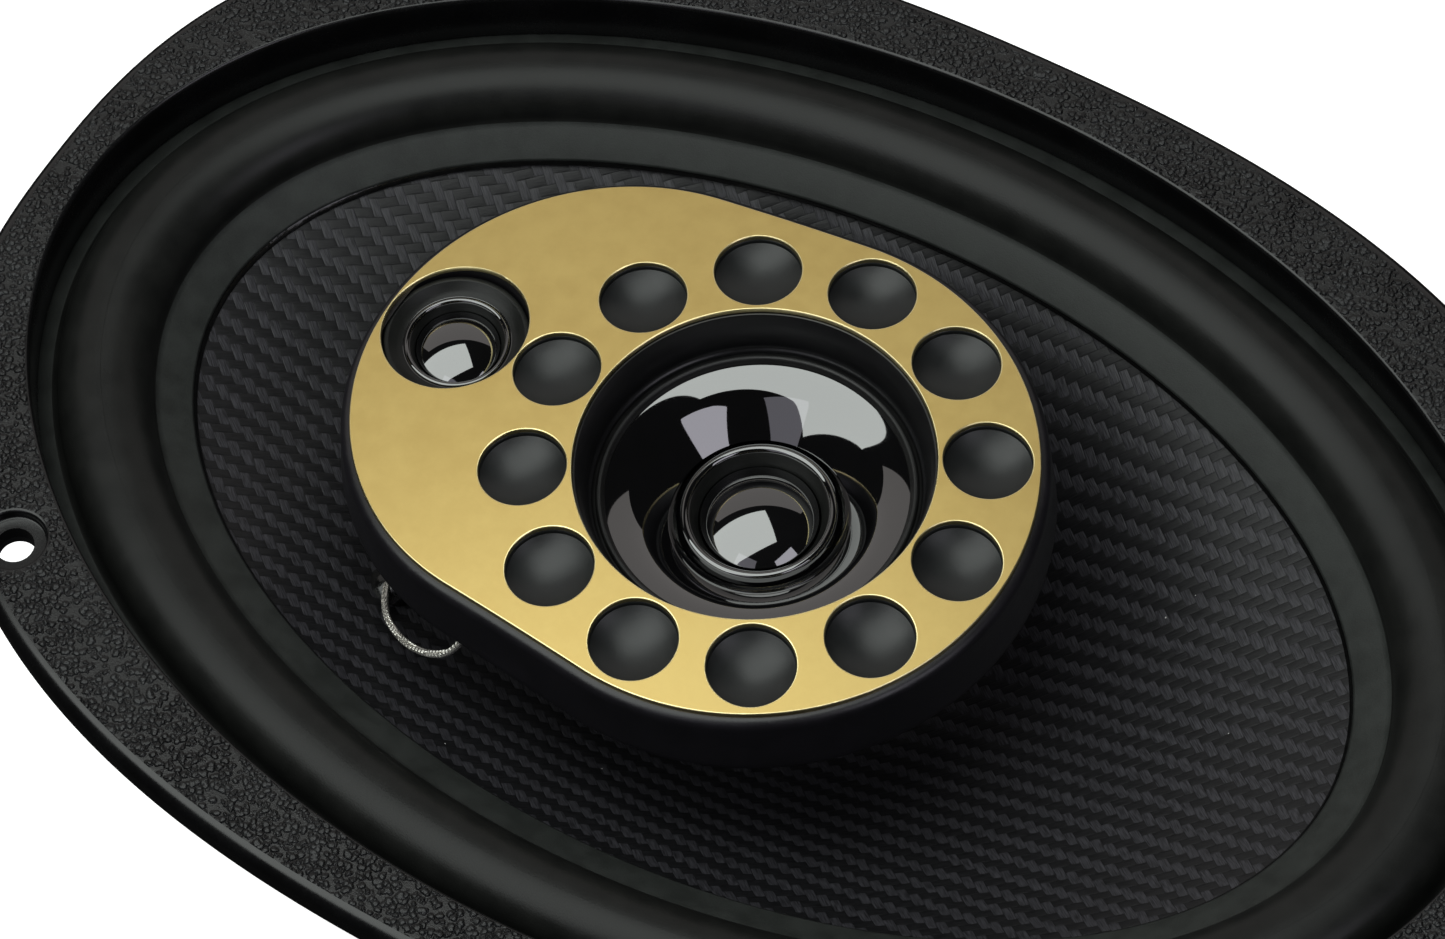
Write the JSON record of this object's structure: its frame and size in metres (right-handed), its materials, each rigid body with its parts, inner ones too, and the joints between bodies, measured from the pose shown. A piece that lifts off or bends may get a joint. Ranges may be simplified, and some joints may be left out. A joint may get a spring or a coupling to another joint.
{
  "type": "coaxial car speaker",
  "caption": "Oval three-way car speaker: woofer with woven cone, and a pod on a centre post with a cone midrange, knob tweeter and side tweeter under a gold dimpled plate.",
  "frame": {"origin": "centre of the mounting plane, the rear face of the flange", "axes": "+Z out of the front towards the listener; +X along the long axis; the small side tweeter is at -X"},
  "size_m": [0.2375, 0.1684, 0.0977],
  "materials": {
    "trim_plastic": "leather-grain moulded",
    "painted_steel": "satin",
    "surround_rubber": "satin",
    "carbon_cloth": "woven",
    "black_glue": "gloss",
    "spider_cloth": "woven",
    "coil_former": "satin",
    "copper_wire": "wound",
    "zinc_steel": "plated",
    "ferrite": "matte",
    "boot_rubber": "satin",
    "fibre_board": "matte",
    "tinned_brass": "plated",
    "tinsel": "braided",
    "gold_plate": "satin",
    "pod_plastic": "satin moulded",
    "gloss_black": "gloss",
    "capacitor_sleeve": "gloss",
    "neodymium": "plated",
    "frame_plastic": "satin",
    "dark_rubber": "satin"
  },
  "bodies": {
    "frame": {"trim_ring": "trim_plastic", "basket": "painted_steel", "surround": "surround_rubber", "spider": "spider_cloth", "top_plate": "zinc_steel", "ferrite_magnet": "ferrite", "pole_yoke": "zinc_steel", "magnet_boot": "boot_rubber", "centre_post": "zinc_steel", "centre_bolt": "zinc_steel", "terminal_board": "fibre_board", "terminal_blades": "tinned_brass", "terminal_rivets": "tinned_brass", "pod_lead_near": "tinsel", "pod_lead_far": "tinsel", "woofer_lead_near": "tinsel", "woofer_lead_far": "tinsel", "lead_bushings": "pod_plastic", "face_plate": "gold_plate", "pod_housing": "pod_plastic", "pod_floor": "pod_plastic", "pod_screws": "zinc_steel", "crossover_capacitors": "capacitor_sleeve", "midrange_frame": "frame_plastic", "midrange_surround": "dark_rubber", "midrange_pot": "zinc_steel", "midrange_magnet": "neodymium", "midrange_pole_plate": "zinc_steel", "centre_tweeter_housing": "gloss_black", "centre_tweeter_magnet": "neodymium", "side_tweeter_housing": "gloss_black", "side_tweeter_magnet": "neodymium"},
    "woofer_moving": {"woofer_cone": "carbon_cloth", "lead_eyelets": "tinned_brass", "glue_dabs": "black_glue", "voice_coil_former": "coil_former", "voice_coil_winding": "copper_wire"},
    "midrange_moving": {"midrange_cone": "gloss_black", "midrange_former": "coil_former", "midrange_winding": "copper_wire"},
    "centre_tweeter_moving": {"centre_tweeter_dome": "gloss_black"},
    "side_tweeter_moving": {"side_tweeter_dome": "gloss_black"}
  },
  "joints": [
    {"name": "woofer_excursion", "type": "slide", "parent": "frame", "child": "woofer_moving", "axis": [0, 0, 1], "range_m": [-0.0055, 0.0055], "stiffness_N_per_m": 2200, "deforming": ["surround", "spider", "pod_lead_near", "pod_lead_far", "woofer_lead_near", "woofer_lead_far"]},
    {"name": "midrange_excursion", "type": "slide", "parent": "frame", "child": "midrange_moving", "axis": [0, 0, 1], "range_m": [-0.001, 0.001], "stiffness_N_per_m": 600, "deforming": ["midrange_surround"]},
    {"name": "centre_tweeter_excursion", "type": "slide", "parent": "frame", "child": "centre_tweeter_moving", "axis": [0, 0, 1], "range_m": [-0.00025, 0.00025], "stiffness_N_per_m": 20},
    {"name": "side_tweeter_excursion", "type": "slide", "parent": "frame", "child": "side_tweeter_moving", "axis": [0, 0, 1], "range_m": [-0.00025, 0.00025], "stiffness_N_per_m": 15}
  ]
}
